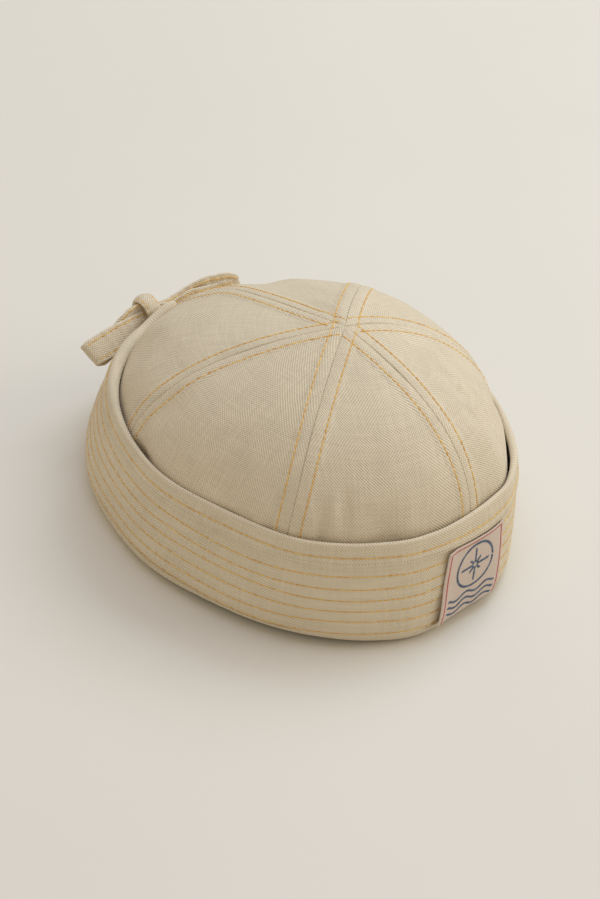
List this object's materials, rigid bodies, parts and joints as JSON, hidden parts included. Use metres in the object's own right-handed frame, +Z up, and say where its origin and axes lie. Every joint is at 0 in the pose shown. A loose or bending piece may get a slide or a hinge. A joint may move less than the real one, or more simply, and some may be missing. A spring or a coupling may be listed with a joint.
{
  "type": "sailor cap",
  "caption": "Soft brimless cloth cap with a domed panelled crown, a turned-up stitched cuff, a woven front patch and a small tie bow at the back.",
  "frame": {"origin": "middle of the cap's footprint on the surface it lies on, at the bottom fold of the cuff", "axes": "+Z up, the front with the label faces -Y, the bow is at the back on +Y"},
  "size_m": [0.1665, 0.2185, 0.1088],
  "materials": {
    "cotton_twill": "matt undyed cotton twill",
    "woven_label": "matt woven patch"
  },
  "bodies": {
    "root": {"crown_panel_1": "cotton_twill", "crown_panel_2": "cotton_twill", "crown_panel_3": "cotton_twill", "crown_panel_4": "cotton_twill", "crown_panel_5": "cotton_twill", "crown_panel_6": "cotton_twill", "cuff": "cotton_twill", "label": "woven_label", "bow_knot": "cotton_twill", "bow_loop_left": "cotton_twill", "bow_loop_right": "cotton_twill", "bow_tail_left": "cotton_twill", "bow_tail_right": "cotton_twill"}
  },
  "joints": []
}
